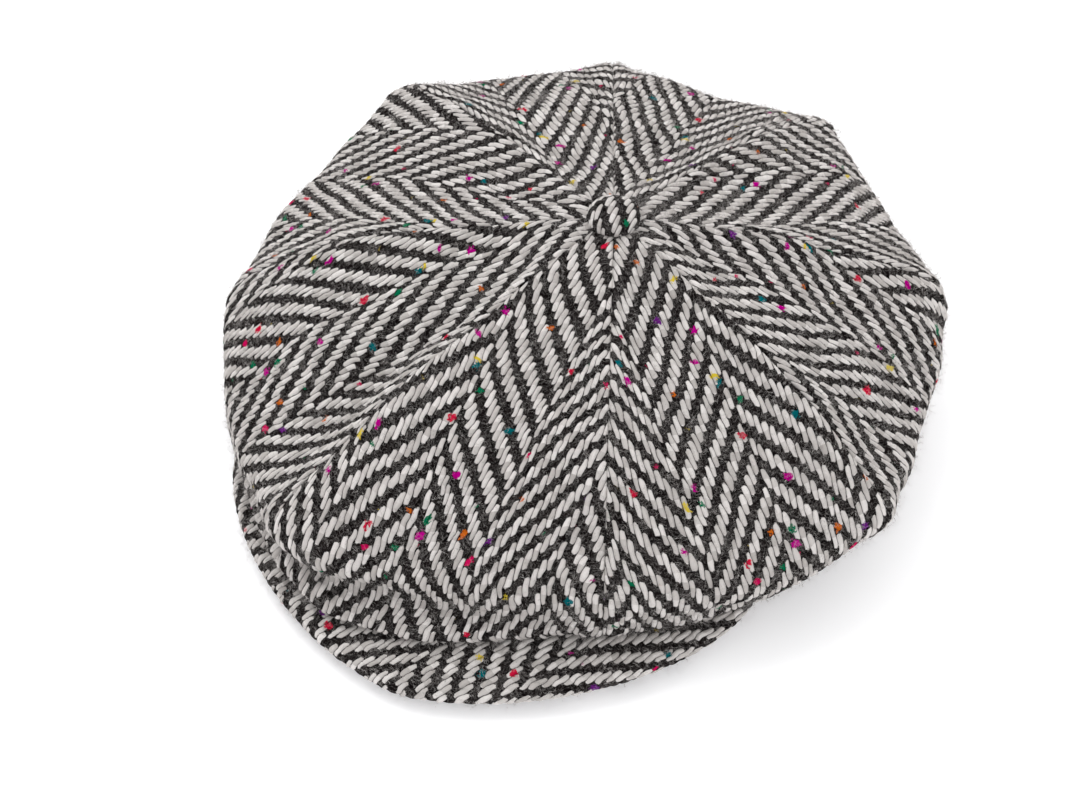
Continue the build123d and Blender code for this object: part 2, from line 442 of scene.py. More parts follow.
def hair_lines(tree, place, scale, shift):
    """Thin curling lines, as stray wool hairs lie on the cloth."""
    moved = add(tree, "ShaderNodeVectorMath", operation="ADD", Vector=place)
    moved.inputs[1].default_value = (shift, -shift, shift)
    noise = add(
        tree, "ShaderNodeTexNoise", Vector=moved.outputs[0], Scale=scale, Detail=1.5, Distortion=1.2
    )
    off = Wire.math("ABSOLUTE", Wire(noise.outputs[0]) - 0.5)
    return spread(tree, off, 0.004, 0.022, 1, 0)


def tweed_material():
    """Off-white warp over near-black weft, with coloured flecks, hairs and yarn twist."""
    material, tree = new_material("tweed_cloth")
    place = add(tree, "ShaderNodeUVMap", uv_map="cloth").outputs[0]
    parts = add(tree, "ShaderNodeSeparateXYZ", Vector=place)
    across = Wire(parts.outputs[0])
    along = Wire(parts.outputs[1])
    warp, weft, warp_round, end_index, pick_index = weave(ShaderMaths, across, along)

    fine = add(tree, "ShaderNodeTexNoise", Vector=place, Scale=3.2, Detail=3.0)
    fuzz = Wire(add(tree, "ShaderNodeTexNoise", Vector=place, Scale=5.5, Detail=4.0).outputs[0])
    ragged = (Wire(fine.outputs[0]) - 0.5) * 0.60
    over = spread(tree, warp - weft + ragged, -0.06, 0.06)
    # The second factor fades the white most of the way to the dark yarn's colour at each warp end's
    # edges, even where the warp lies on top: painted shade in the gaps between adjacent ends.
    over = over * spread(tree, warp_round + ragged, 0.05, 0.40, 0.25, 1.0)

    yarn = add(tree, "ShaderNodeCombineXYZ", X=end_index, Y=pick_index)
    tone = Wire(add(tree, "ShaderNodeTexWhiteNoise", Vector=yarn.outputs[0]).outputs[0])
    white = mix_colour(tree, tone, *WHITE_YARN)
    dark = mix_colour(tree, tone, *DARK_YARN)
    lines = hair_lines(tree, place, 0.36, 0.0)
    for scale, shift in ((0.30, 31.7), (0.47, 73.1)):
        lines = ShaderMaths.maximum(lines, hair_lines(tree, place, scale, shift))
    haze = spread(tree, fuzz, 0.56, 0.80, 0, 0.07)
    dark = mix_colour(tree, ShaderMaths.maximum(lines * 0.26, haze), dark, HAIR_ON_DARK)
    white = mix_colour(tree, spread(tree, fuzz, 0.56, 0.74, 0, 0.36), white, HAIR_ON_WHITE)

    wobble = add(tree, "ShaderNodeTexNoise", Vector=place, Scale=0.9, Detail=2.0)
    bent = add(tree, "ShaderNodeVectorMath", operation="MULTIPLY_ADD")
    for slot, value in zip(bent.inputs, (wobble.outputs["Color"], (4.0, 4.0, 0), place)):
        connect(tree, value, slot)
    cells = add(tree, "ShaderNodeTexVoronoi", Vector=bent.outputs[0], Scale=0.17, Randomness=1.0)
    chance = add(tree, "ShaderNodeSeparateColor", Color=cells.outputs["Color"])
    ramp = add(tree, "ShaderNodeValToRGB", Fac=chance.outputs[1])
    ramp.color_ramp.interpolation = "CONSTANT"
    while len(ramp.color_ramp.elements) < len(FLECK_COLOURS):
        ramp.color_ramp.elements.new(0.5)
    for index, colour in enumerate(FLECK_COLOURS):
        ramp.color_ramp.elements[index].position = index / len(FLECK_COLOURS)
        ramp.color_ramp.elements[index].color = colour
    size = Wire(chance.outputs[2]) * 0.19 + 0.07
    near = spread(tree, Wire(cells.outputs["Distance"]) + ragged * 0.4 - size, -0.03, 0.03, 1, 0)
    chosen = spread(tree, Wire(chance.outputs[0]), FLECK_CHANCE, FLECK_CHANCE + 0.001, 1, 0)
    fleck = near * chosen
    dark = mix_colour(tree, fleck * 0.92, dark, ramp.outputs[0])
    white = mix_colour(
        tree, fleck * spread(tree, Wire(chance.outputs[2]), 0.70, 0.71), white, ramp.outputs[0]
    )
    colour = mix_colour(tree, over, dark, white)

    height = ShaderMaths.maximum(warp, weft)
    # Painted shade: the colour darkens to about a third where the woven surface is low, as shade
    # falls between the yarns.
    painted_hollow_shade = spread(tree, height, 0.05, 0.72, 0.34, 1.0)
    shaded = add(tree, "ShaderNodeVectorMath", operation="SCALE", Vector=colour, Scale=painted_hollow_shade)

    twist = ShaderMaths.sin((along * 0.9 + across * 1.5) * 6.5) * 0.05
    relief = height + twist * over + (fuzz - 0.5) * 0.40 + lines * 0.10
    normal = bumps(tree, relief, 0.8, 0.001)
    surface(tree, Base_Color=shaded.outputs[0], Roughness=0.95, Normal=normal, Specular_IOR_Level=0.0)
    return material


def hair_material():
    """Pale wool of the stray hairs, each with a tone of its own."""
    material, tree = new_material("stray_wool_hair")
    chance = add(tree, "ShaderNodeHairInfo")
    tint = mix_colour(tree, chance.outputs["Random"], *STRAY_HAIR)
    surface(tree, "Diffuse", Color=tint)
    return material


def ribbed_material(name, colour, scale):
    """Plain cloth with a fine rib or open weave."""
    material, tree = new_material(name)
    place = add(tree, "ShaderNodeTexCoord").outputs["Object"]
    rib = add(tree, "ShaderNodeTexWave", Vector=place, Scale=scale, Distortion=0.6, Detail=2.0)
    rib.bands_direction = "Z"
    relief = Wire(rib.outputs["Fac"]) * 0.7 + object_noise(tree, 900.0, 3.0) * 0.3
    # Painted shade and highlight: the tint is lighter on the rib crests and darker in the furrows,
    # following the bump relief.
    light = tuple(min(1, c * 1.7 + 0.02) for c in colour[:3]) + (1,)
    tint = mix_colour(tree, spread(tree, relief, 0.2, 0.9), colour, light)
    normal = bumps(tree, relief, 0.35, 0.0006)
    surface(tree, Base_Color=tint, Roughness=0.8, Normal=normal, Sheen_Weight=0.2)
    return material


def satin_material():
    """Dark quilting satin: fine warp sheen with a soft cloudy tone."""
    material, tree = new_material("quilted_satin")
    cloud = object_noise(tree, 60.0, 4.0)
    tint = mix_colour(tree, cloud, (0.010, 0.010, 0.012, 1), (0.035, 0.034, 0.038, 1))
    normal = bumps(tree, object_noise(tree, 1800.0, 2.0), 0.2, 0.0003)
    surface(
        tree, Base_Color=tint, Roughness=0.38, Normal=normal, Sheen_Weight=0.3, Anisotropic=0.5
    )
    return material


def metal_material():
    """Pressed sheet metal of the button, brushed and slightly dull."""
    material, tree = new_material("button_sheet_metal")
    brushed = object_noise(tree, 1500.0, 4.0)
    rough = spread(tree, brushed, 0.3, 0.7, 0.28, 0.45)
    normal = bumps(tree, brushed, 0.1, 0.0002)
    surface(tree, Base_Color=(0.62, 0.62, 0.64, 1), Metallic=1.0, Roughness=rough, Normal=normal)
    return material


def board_material():
    """Matt white plastic sheet of the visor's board."""
    material, tree = new_material("board_sheet_plastic")
    grain = object_noise(tree, 700.0, 3.0)
    tint = mix_colour(tree, grain, (0.70, 0.70, 0.68, 1), (0.80, 0.80, 0.78, 1))
    surface(tree, Base_Color=tint, Roughness=0.55, Normal=bumps(tree, grain, 0.15, 0.0002))
    return material


# ---------------------------------------------------------------- reading the CAD shapes
def node_tree(node):
    """Search tree of a CAD node's faces, in millimetres."""
    mesh = frame["nodes"][node].data
    points = [v.co / MM for v in mesh.vertices]
    return BVHTree.FromPolygons(points, [tuple(p.vertices) for p in mesh.polygons])


def node_points(node):
    """A CAD node's vertices, in millimetres."""
    mesh = frame["nodes"][node].data
    flat = np.zeros(len(mesh.vertices) * 3, np.float32)
    mesh.vertices.foreach_get("co", flat)
    return flat.reshape(-1, 3).astype(float) / MM


def heading(bearing):
    """Unit vector over the ground at a bearing in radians: 0 is along the visor."""
    return np.array([math.sin(bearing), -math.cos(bearing), 0.0])


def panel_bearings(node):
    """Bearings of a panel's two seam edges around the crown's axis, in radians."""
    points = node_points(node) - (AXIS_X, AXIS_Y, 0)
    points = points[np.hypot(points[:, 0], points[:, 1]) > 60]
    angle = np.arctan2(points[:, 0], -points[:, 1])
    centre = math.atan2(np.sin(angle).mean(), np.cos(angle).mean())
    off = (angle - centre + math.pi) % (2 * math.pi) - math.pi
    return centre + off.min(), centre + off.max()


def even_line(points, count):
    """Polyline resampled to points of even spacing."""
    run = lengths(points)
    even = np.linspace(0, run[-1], count)
    return np.stack([np.interp(even, run, points[:, k]) for k in range(points.shape[1])], axis=-1)


def meridian(tree, bearing, middle, rows):
    """Outer surface of the crown in one upright plane, from the button to the hem.

    Rows of (reach, height) at even spacing. Close to the button an edge plane runs beside
    the panel, so the height is read a little further towards the panel's middle.
    """
    axis = np.array([AXIS_X, AXIS_Y, 0.0])
    out = heading(bearing)

    def hit(start, toward):
        found = tree.ray_cast(Vector(start), Vector(toward))[0]
        if found is None:
            return None
        return (float(np.dot(np.array(found) - axis, out)), found.z)

    rims = []
    for height in np.arange(20, 70, 1.0):
        found = hit(axis + out * 300 + (0, 0, height), -out)
        if found:
            rims.append(found)
    rim_reach, rim_height = max(rims)
    core = rim_reach - 14
    line = []
    for reach in np.linspace(4.9, core, 46):
        for share in (0, 0.04, 0.15, 0.5, 1):
            side = heading(mix(bearing, middle, share))
            found = hit(axis + side * reach + (0, 0, 300), (0, 0, -1))
            if found:
                line.append((reach, found[1]))
                break
    for turn in np.radians(np.linspace(82, -82, 30)):
        toward = -(out * math.cos(turn) + np.array([0, 0, math.sin(turn)]))
        found = hit(axis + out * core + (0, 0, rim_height) - toward * 200, toward)
        if found:
            line.append(found)
    for reach in np.arange(core, 60, -1.0):
        found = hit(axis + out * reach + (0, 0, -200), (0, 0, 1))
        if not found or abs(found[1] - line[-1][1]) > 3:
            break
        line.append(found)
    return even_line(np.array(line), rows)


# Where the crown's front comes down on the visor: bearing in degrees around the crown's
# axis, and reach of the line where the cloth touches the visor, in millimetres.
REST_BEARING = (-55, -45, -38, -32, -24, -16, -9, -1, 6, 14, 22, 29, 37, 45, 58)
REST_REACH = (150, 156, 161, 165, 169, 171, 166, 159, 151, 144, 142, 140, 137, 129, 120)
REST_SPAN = (-66, -50, 42, 58)
REST_CLEARANCE = 1.2
ROLL_DROP = 6.0
# How far the roll above it sags outwards, and how deep the crease between the roll and
# the cloth that lies on the visor is, as (bearing in degrees, millimetres).
ROLL_SAG = ((-50, 0), (-38, 2), (-25, 6), (-16, 8), (-9, 3), (-1, 1), (8, 0))
CREASE_DEPTH = (
    (-52, 0),
    (-42, 4),
    (-30, 7),
    (-16, 8),
    (-8, 6),
    (-1, 2),
    (5, 0),
    (18, 0),
    (26, 3),
    (40, 4),
    (50, 0),
)


def by_bearing(degrees, table):
    """Value of a (bearing, value) table at a bearing."""
    return float(np.interp(degrees, *zip(*table)))


def rest_on_visor(line, bearing, visor):
    """Section of the crown whose cloth below the rim hangs down and rolls back along the visor."""
    degrees = math.degrees(wrap(bearing))
    start, full, fade, end = REST_SPAN
    share = float(smooth(degrees, start, full) * (1 - smooth(degrees, fade, end)))
    if share == 0:
        return line
    line = line.copy()
    line[:, 0] += by_bearing(degrees, ROLL_SAG) * share * smooth(line[:, 0], 90, line[:, 0].max())
    rim = int(np.argmax(line[:, 0]))
    rim_reach, rim_height = line[rim]
    hem_reach, hem_height = line[-1]
    touch = float(np.interp(degrees, REST_BEARING, REST_REACH))
    crease = by_bearing(degrees, CREASE_DEPTH)
    belly = max(touch, rim_reach - 2)
    axis = np.array([AXIS_X, AXIS_Y, 200.0])

    def floor(reach):
        while reach > hem_reach:
            found = visor.ray_cast(Vector(axis + heading(bearing) * reach), Vector((0, 0, -1)))[0]
            if found:
                return found.z + REST_CLEARANCE
            reach -= 1.0
        return hem_height - 4.0

    low = floor(touch)
    middle = (touch - 4 + hem_reach) / 2
    knots = [
        (rim_reach, rim_height),
        (rim_reach - 1 - crease * 0.2, rim_height - ROLL_DROP),
        (mix(rim_reach, belly, 0.3) - crease, mix(low, rim_height, 0.45)),
        (belly + 1.2, low + 4.0),
        (touch, low + 1.2),
        (touch - 4, floor(touch - 4)),
        (middle, max(floor(middle), mix(low, hem_height, 0.4))),
        (hem_reach + 3, max(floor(hem_reach + 3), hem_height - 1.5)),
        (hem_reach, hem_height),
    ]
    path = even_line(np.array(knots, float), 240)
    for _ in range(2):
        padded = np.concatenate([np.repeat(path[:1], 9, 0), path, np.repeat(path[-1:], 9, 0)])
        path = np.stack([np.convolve(padded[:, k], np.ones(19) / 19, "valid") for k in (0, 1)], -1)
    under = line[rim:]
    moved = mix(under, even_line(path, len(under)), share)
    return even_line(np.concatenate([line[:rim], moved]), len(line))


def read_crown(prefix, columns=17, rows=72):
    """Sheets of all eight gores, with each seam shared by its two panels."""
    visor = node_tree("visor_top_cover")
    profiles = []
    edges = []
    for name in PANELS:
        node = prefix + name
        tree = node_tree(node)
        start, end = panel_bearings(node)
        inset = 0.008
        middle = (start + end) / 2
        turns = np.linspace(start + inset, end - inset, columns)
        lines = [meridian(tree, turn, middle, rows) for turn in turns]
        if prefix == "crown_panel_":
            lines = [rest_on_visor(line, turn, visor) for line, turn in zip(lines, turns)]
        profiles.append(np.array(lines))
        edges.append((start, end))
    sheets = []
    for k in range(len(PANELS)):
        before = (k - 1) % len(PANELS)
        after = (k + 1) % len(PANELS)
        start = edges[k][0] - wrap(edges[k][0] - edges[before][1]) / 2
        end = edges[k][1] + wrap(edges[after][0] - edges[k][1]) / 2
        profile = profiles[k].copy()
        profile[0] = (profiles[k][0] + profiles[before][-1]) / 2
        profile[-1] = (profiles[k][-1] + profiles[after][0]) / 2
        turns = np.linspace(start, end, columns)[:, None]
        x = AXIS_X + profile[..., 0] * np.sin(turns)
        y = AXIS_Y - profile[..., 0] * np.cos(turns)
        sheets.append(np.stack([x, y, profile[..., 1]], axis=-1))
    return sheets


def wrap(angle):
    """Angle brought into the range from minus half a turn to half a turn."""
    return (angle + math.pi) % (2 * math.pi) - math.pi


# ---------------------------------------------------------------- crown
# Folds in the crown: bearing in degrees, place from button (0) to hem (1), spread of each,
# and how far the cloth moves out (+) or in (-), in millimetres.
FOLDS = (
    (-36, 0.50, 8, 0.25, -7.5),
    (-47, 0.74, 7, 0.12, -2.5),
    (-24, 0.56, 6, 0.24, 2.4),
    (6, 0.62, 12, 0.20, 1.2),
    (48, 0.74, 10, 0.12, 1.8),
    (90, 0.58, 10, 0.20, -2.4),
    (137, 0.52, 12, 0.20, -2.2),
    (262, 0.58, 12, 0.20, -2.4),
    (180, 0.58, 10, 0.18, -1.6),
    (238, 0.70, 10, 0.10, -4.0),
    (201, 0.70, 8, 0.10, -2.0),
    (159, 0.70, 9, 0.10, -3.0),
    (113, 0.72, 9, 0.10, -1.5),
    (60, 0.50, 7, 0.22, 1.6),
    (-66, 0.52, 8, 0.20, 2.0),
)
SEAM_ROLL = 0.8
SEAM_RIDGE = 0.7
crown_ripple = Ripple(11, 60.0)
crown_crease = Ripple(23, 24.0)


def upright_normal(points, down):
    """Outward normals in the upright planes through the crown's axis.

    They depend only on a point and the slope of its seam line, so that the two panels
    at a seam get the same ones.
    """
    arm = points - (AXIS_X, AXIS_Y, 0)
    around = unit(np.stack([-arm[..., 1], arm[..., 0], np.zeros(arm.shape[:-1])], axis=-1))
    down = unit(down - around * (down * around).sum(-1, keepdims=True))
    return np.cross(down, around)


def drape(sheet, amount=1.0):
    """Sheet with the crown's folds and soft unevenness added along its outward normal."""
    columns, rows = sheet.shape[:2]
    outward = upright_normal(sheet, np.gradient(sheet, axis=1))
    bearing = np.degrees(np.arctan2(sheet[..., 0] - AXIS_X, -(sheet[..., 1] - AXIS_Y)))
    place = np.broadcast_to(np.arange(rows) / (rows - 1), (columns, rows))
    move = crown_ripple.at(sheet) * 0.9 + crown_crease.at(sheet) * 0.35
    for turn, middle, wide, tall, depth in FOLDS:
        off = (bearing - turn + 180) % 360 - 180
        move = move + depth * np.exp(-((off / wide) ** 2) - ((place - middle) / tall) ** 2)
    keep = smooth(place, 0.02, 0.20) * (1 - smooth(place, 0.72, 0.84))
    return sheet + outward * (move * keep * amount)[..., None]


def gore_lattice(sheet, step):
    """Square lattice of cloth cut off at the panel's seams.

    Returns sheet columns and rows, cloth coordinates, distance to the nearer seam,
    faces, and the four border rows of vertices.
    """
    columns, rows = sheet.shape[:2]
    centre_row = np.linspace(0, rows - 1, 800)
    centre = sheet_points(sheet, np.full(800, (columns - 1) / 2), centre_row)
    reach = lengths(centre)
    count = int(reach[-1] / step)
    row_at = np.interp(np.linspace(0, reach[-1], count + 1), reach, centre_row)
    step_along = reach[-1] / count
    samples = np.linspace(0, columns - 1, 49)
    grid_column, grid_row = np.meshgrid(samples, row_at, indexing="xy")
    widths = lengths(sheet_points(sheet, grid_column, grid_row))
    middle = widths[:, 24:25]
    widths = widths - middle

    column_list, row_list, cloth_list, seam_list = [], [], [], []
    index_rows, left, right = [], [], []
    total = 0
    for j in range(count + 1):
        low, high = widths[j, 0], widths[j, -1]
        first = math.ceil((low + step * 0.4) / step)
        last = math.floor((high - step * 0.4) / step)
        inner = np.arange(first, last + 1) * step
        places = np.concatenate([[low], inner, [high]])
        column_list.append(np.interp(places, widths[j], samples))
        row_list.append(np.full(len(places), row_at[j]))
        cloth_list.append(np.stack([places, np.full(len(places), j * step_along)], axis=-1))
        seam_list.append(np.minimum(places - low, high - places))
        left.append(total)
        right.append(total + len(places) - 1)
        index_rows.append((first, last, total + 1))
        total += len(places)

    faces = []
    for j in range(count):
        first, last, base = index_rows[j]
        first_up, last_up, base_up = index_rows[j + 1]
        start, end = max(first, first_up), min(last, last_up)
        here, above = base - first, base_up - first_up
        run = np.arange(start, end)
        quads = np.stack([here + run, here + run + 1, above + run + 1, above + run], axis=-1)
        faces.extend(map(tuple, quads.tolist()))
        near_left = [here + i for i in range(first, start + 1)]
        near_left_up = [above + i for i in range(start, first_up - 1, -1)]
        faces.append(tuple([left[j]] + near_left + near_left_up + [left[j + 1]]))
        near_right = [here + i for i in range(end, last + 1)]
        near_right_up = [above + i for i in range(last_up, end - 1, -1)]
        faces.append(tuple(near_right + [right[j], right[j + 1]] + near_right_up))
    top = list(range(left[0], right[0] + 1))
    hem = list(range(left[-1], right[-1] + 1))
    return {
        "column": np.concatenate(column_list),
        "row": np.concatenate(row_list),
        "cloth": np.concatenate(cloth_list),
        "seam": np.concatenate(seam_list),
        "faces": faces,
        "borders": (left, hem, right[::-1], top[::-1]),
    }


def grid_faces(columns, rows, closed=False, looped=False):
    """Quads of a grid of vertices numbered row by row within each column.

    A closed grid joins its last column to its first, and a looped one its last row too.
    """
    number = np.arange(columns * rows).reshape(columns, rows)
    if closed:
        number = np.concatenate([number, number[:1]])
    if looped:
        number = np.concatenate([number, number[:, :1]], axis=1)
    quads = [number[:-1, :-1], number[1:, :-1], number[1:, 1:], number[:-1, 1:]]
    return np.stack(quads, axis=-1).reshape(-1, 4).tolist()


def grid_borders(columns, rows):
    """The four border rows of a grid's vertices: first column, last row, last column, first row."""
    number = np.arange(columns * rows).reshape(columns, rows)
    sides = (number[0, :], number[:, -1], number[-1, ::-1], number[::-1, 0])
    return [side.tolist() for side in sides]


def close_back(points, faces, borders, back):
    """Adds a coarse back side to a cloth and joins it to the front's four borders."""
    columns, rows = back.shape[:2]
    base = len(points)
    faces = faces + [[base + corner for corner in quad[::-1]] for quad in grid_faces(columns, rows)]
    points = np.concatenate([points, back.reshape(-1, 3)])
    for border, side in zip(borders, grid_borders(columns, rows)):
        side = [base + corner for corner in side]
        border_at = lengths(points[np.array(border)])
        side_at = lengths(points[np.array(side)])
        strip = zip_edges(border, border_at / border_at[-1], side, side_at / side_at[-1])
        faces.extend(face[::-1] for face in strip)
    return points, faces


def closed_cloth(front, faces, borders, back, cloth):
    """Points, faces, cloth coordinates and the number of front points of a closed tweed piece."""
    points, faces = close_back(front, faces, borders, back)
    uv = points[:, :2].copy()
    uv[: len(front)] = cloth
    return points, faces, uv, len(front)


def show(name, body, stands_for, points, faces, material, uv=None):
    """Piece that rides on a body and stands for CAD nodes."""
    piece = make_mesh(name, points, faces, material, uv)
    if body:
        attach(piece, body)
    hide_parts(*stands_for)
    return piece


def add_fuzz(piece, front_count, hairs, seed):
    """Stray wool hairs standing off the front of a cloth; they exist only in renders."""
    front = piece.vertex_groups.new(name="front")
    front.add(list(range(front_count)), 1.0, "REPLACE")
    piece.data.materials.append(hair_finish)
    piece.modifiers.new("fuzz", "PARTICLE_SYSTEM")
    system = piece.particle_systems[-1]
    system.seed = seed
    system.vertex_group_density = "front"
    hair = system.settings
    hair.type = "HAIR"
    hair.count = hairs
    hair.hair_length = 0.0036
    hair.hair_step = 4
    hair.use_advanced_hair = True
    hair.normal_factor = 0.00045
    hair.factor_random = 0.00060
    hair.child_type = "SIMPLE"
    hair.rendered_child_count = HAIR_CHILDREN
    hair.child_radius = 0.0030
    hair.child_length = 1.0
    hair.roughness_1 = 0.0010
    hair.roughness_1_size = 0.0012
    hair.roughness_endpoint = 0.0012
    hair.roughness_2 = 0.0008
    hair.roughness_2_size = 0.0012
    hair.render_step = 4
    hair.material_slot = hair_finish.name
    hair.root_radius = 0.028
    hair.tip_radius = 0.018
    hair.radius_scale = 0.001


def crown_panel(sheet, start_ends, start_picks, seed):
    """Points, faces and cloth coordinates of one tweed gore."""
    lattice = gore_lattice(sheet, CLOTH_STEP)
    column, row, seam = lattice["column"], lattice["row"], lattice["seam"]
    base = sheet_points(sheet, column, row)
    flat = upright_normal(base, sheet_down(sheet, column, row))
    normal = sheet_normals(sheet, column, row)
    normal = normal * np.sign((normal * flat).sum(-1, keepdims=True))
    normal = unit(mix(flat, normal, smooth(seam, 0.0, 6.0)[:, None]))

    cloth = lattice["cloth"] + (start_ends * END_PITCH, start_picks * PICK_PITCH)
    cloth = cloth + np.stack(wander(base, seed, seed + 2), axis=-1)
    height = weave_height(cloth[:, 0], cloth[:, 1]) * mix(0.35, 1, smooth(seam, 0, 1.0))
    inside = np.clip(SEAM_ROLL - seam, 0, SEAM_ROLL)
    roll = SEAM_ROLL - np.sqrt(SEAM_ROLL**2 - inside**2)
    ridge = SEAM_RIDGE * smooth(seam, 0.0, 3.0) * (1 - smooth(seam, 5.0, 11.0))
    points = base + normal * (height + (ridge - roll) * smooth(row, 1.0, 4.0))[:, None]

    places = even_grid(sheet, 13, 37)
    back = sheet_points(sheet, *places)
    back = back - upright_normal(back, sheet_down(sheet, *places)) * CLOTH_DEPTH
    return closed_cloth(points, lattice["faces"], lattice["borders"], back, cloth)


def build_crown(material):
    """The eight tweed gores of the crown."""
    sheets = [drape(sheet) for sheet in read_crown("crown_panel_")]
    for k, name in enumerate(PANELS):
        ends, picks = PANEL_WEAVE_START[name]
        points, faces, uv, front = crown_panel(sheets[k], ends, picks, 100 + 10 * k)
        nodes = ["crown_panel_" + name]
        piece = show("tweed_crown_" + name, "root", nodes, points, faces, material, uv)
        add_fuzz(piece, front, HAIRS_PER_PANEL, k + 1)


# ---------------------------------------------------------------- lining
QUILT_PITCH = 24.0
QUILT_PUFF = 1.1
QUILT_GRID = (65, 121)
LINING_DEPTH = 1.3


def build_lining(material):
    """Eight quilted gores inside the crown; the puffs face the head."""
    for k, sheet in enumerate(drape(sheet) for sheet in read_crown("lining_panel_")):
        columns, rows = QUILT_GRID
        outer = sheet_points(sheet, *even_grid(sheet, columns, rows))
        down = np.gradient(outer, axis=1)
        inward = -upright_normal(outer, down)
        along = lengths(outer)
        middle = len(outer) // 2
        across = np.cumsum(np.linalg.norm(np.gradient(outer, axis=0), axis=-1), axis=0)
        across = across - across[middle]
        turn = math.pi / QUILT_PITCH / math.sqrt(2)
        ribs = np.sin((across + along) * turn) * np.sin((across - along) * turn)
        puff = np.sqrt(np.abs(ribs)) * QUILT_PUFF
        to_edge = np.abs(np.linspace(-1, 1, columns))[:, None]
        puff = puff * (1 - smooth(to_edge, 0.93, 1.0))
        inner = outer + inward * (LINING_DEPTH + puff)[..., None]
        back_column = np.linspace(0, columns - 1, 13).astype(int)
        back_row = np.linspace(0, rows - 1, 31).astype(int)
        back = (outer + inward * 0.2)[np.ix_(back_column, back_row)]
        faces, borders = grid_faces(columns, rows), grid_borders(columns, rows)
        points, faces = close_back(inner.reshape(-1, 3), faces, borders, back)
        name = PANELS[k]
        nodes = ["lining_panel_" + name]
        show("quilted_lining_" + name, "root", nodes, points, faces, material)


# ---------------------------------------------------------------- bands
def ring_piece(reach, section, columns, seam_depth):
    """Closed ring around the head opening.

    The section is a loop of (outset, height, weave share); returns points, faces and cloth
    coordinates that run around the ring.
    """
    outset, height, share = np.array(section).T
    rows = len(section)
    turn = np.linspace(0, 2 * math.pi, 2000)
    ellipse = np.stack([reach[0] * np.sin(turn), -reach[1] * np.cos(turn)], axis=-1)
    run = lengths(ellipse)
    around = np.arange(columns) / columns * run[-1]
    turns = np.interp(around, run, turn)
    edge = np.stack([reach[0] * np.sin(turns), -reach[1] * np.cos(turns)], axis=-1)
    out = unit(np.stack([np.sin(turns) / reach[0], -np.cos(turns) / reach[1]], axis=-1))
    loop = np.stack([outset, height], axis=-1)
    section_run = lengths(np.concatenate([loop, loop[:1]]))[:-1]
    repeat = BAND_ENDS * 2 * END_PITCH
    scale = round(run[-1] / repeat) * repeat / run[-1]
    across = np.repeat((around * scale)[:, None], rows, axis=1)
    along = np.repeat(section_run[None, :], columns, axis=0)
    push = weave_height(across, along) * share
    to_seam = np.abs(around - run[-1] / 2)
    push = push - (seam_depth * np.exp(-((to_seam / 0.9) ** 2)))[:, None] * (share > 0)
    reach_now = outset[None, :] + push
    plan = edge[:, None, :] + out[:, None, :] * reach_now[..., None]
    z = np.repeat(height[None, :], columns, axis=0)
    points = np.concatenate([plan, z[..., None]], axis=-1)
    faces = grid_faces(columns, rows, closed=True, looped=True)
    uv = np.stack([across, along], axis=-1)
    return points.reshape(-1, 3), faces, uv.reshape(-1, 2)


def band_section(thick, low, high, fine_step, coarse_step):
    """Loop of (outset, height, weave share) of a band with rounded edges, outer face first."""
    radius = thick / 2
    section = []
    count = max(2, int((high - low - thick) / fine_step))
    for height in np.linspace(high - radius, low + radius, count):
        fade = min(1.0, (high - height) / 2, (height - low) / 1.2)
        section.append((0.0, height, fade))
    for turn in np.radians(np.linspace(-15, -165, 6)):
        section.append((radius * (math.cos(turn) - 1), low + radius * (1 + math.sin(turn)), 0.0))
    count = max(2, int((high - low - thick) / coarse_step))
    for height in np.linspace(low + radius, high - radius, count):
        section.append((-thick, height, 0.0))
    for turn in np.radians(np.linspace(165, 15, 6)):
        section.append((radius * (math.cos(turn) - 1), high + radius * (math.sin(turn) - 1), 0.0))
    return section


def build_bands(tweed, ribbed):
    """Tweed headband, and the plain ribbed sweatband inside it."""
    bands = (
        ("tweed_headband", "headband", "tweed", tweed, 2.1, (0.52, 3.0), 1060, 0.9, 1.0),
        ("ribbed_sweatband", "sweatband", "sweatband_cotton", ribbed, 1.1, (1.4, 1.0), 420, 0.0, 0.0),
    )
    for name, node, slot, material, thick, steps, columns, seam_depth, woven in bands:
        low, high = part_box(node)
        section = band_section(thick, low.z / MM, high.z / MM, *steps)
        section = [(outset, height, share * woven) for outset, height, share in section]
        reach = (high.x / MM, high.y / MM)
        points, faces, uv = ring_piece(reach, section, columns, seam_depth)
        show(name, "root", [node], points, faces, material, uv)


# ---------------------------------------------------------------- visor
VISOR_THICK = 6.0
VISOR_WARP_TURN = math.radians(30)
VISOR_WEAVE_SHIFT = 15.0
VISOR_SEAM_TURN = -48
VISOR_STEP = 0.5
TAIL_TRIM = math.radians(0.35)


def visor_hit(tree, bearing, reach):
    """Height of the visor's top above a place, or None."""
    start = heading(bearing) * reach + (0, 0, 200)
    found = tree.ray_cast(Vector(start), Vector((0, 0, -1)))[0]
    return None if found is None else found.z


def visor_reach(tree, bearing, inside, outside):
    """Reach of the edge between a place on the visor and one off it."""
    for _ in range(12):
        middle = (inside + outside) / 2
        if visor_hit(tree, bearing, middle) is None:
            outside = middle
        else:
            inside = middle
    return inside


